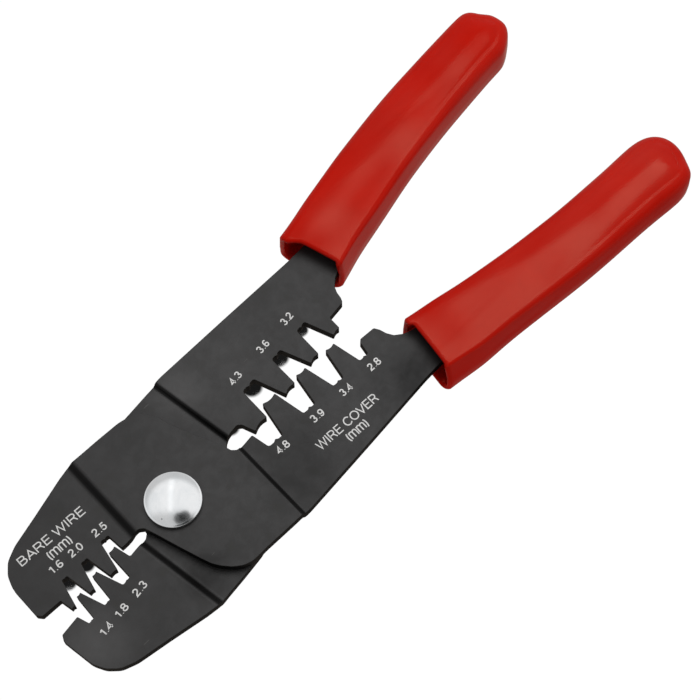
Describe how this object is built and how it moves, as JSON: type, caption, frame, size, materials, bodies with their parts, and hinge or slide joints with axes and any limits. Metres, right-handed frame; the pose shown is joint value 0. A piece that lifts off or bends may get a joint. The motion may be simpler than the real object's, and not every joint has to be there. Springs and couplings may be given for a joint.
{
  "type": "crimping pliers",
  "caption": "Hand crimping pliers with two crossed flat stamped levers, a domed pivot rivet, toothed crimping dies on the jaws and behind the pivot, and slip-on sleeve grips.",
  "frame": {"origin": "centre of the overall box at rest, on the mid plane of the die plates; the rivet axis is 65.8 mm towards the jaws", "axes": "+X along the tool's centre line from the jaws to the handles, +Y towards the handle of the bottom lever, +Z out of the domed front head of the rivet"},
  "size_m": [0.2252, 0.0878, 0.015],
  "materials": {
    "lever_steel": "black oxide, satin",
    "grip_vinyl": "dipped vinyl, satin gloss",
    "rivet_nickel": "bright nickel plate"
  },
  "bodies": {
    "top": {"top_lever": "lever_steel", "top_lever_grip": "grip_vinyl", "pivot_rivet": "rivet_nickel"},
    "bottom": {"bottom_lever": "lever_steel", "bottom_lever_grip": "grip_vinyl"}
  },
  "joints": [
    {"name": "pivot", "type": "hinge", "parent": "top", "child": "bottom", "pos_m": [-0.06581, -0.00012, 0], "axis": [0, 0, 1], "range_deg": [-8.8, 17]}
  ]
}
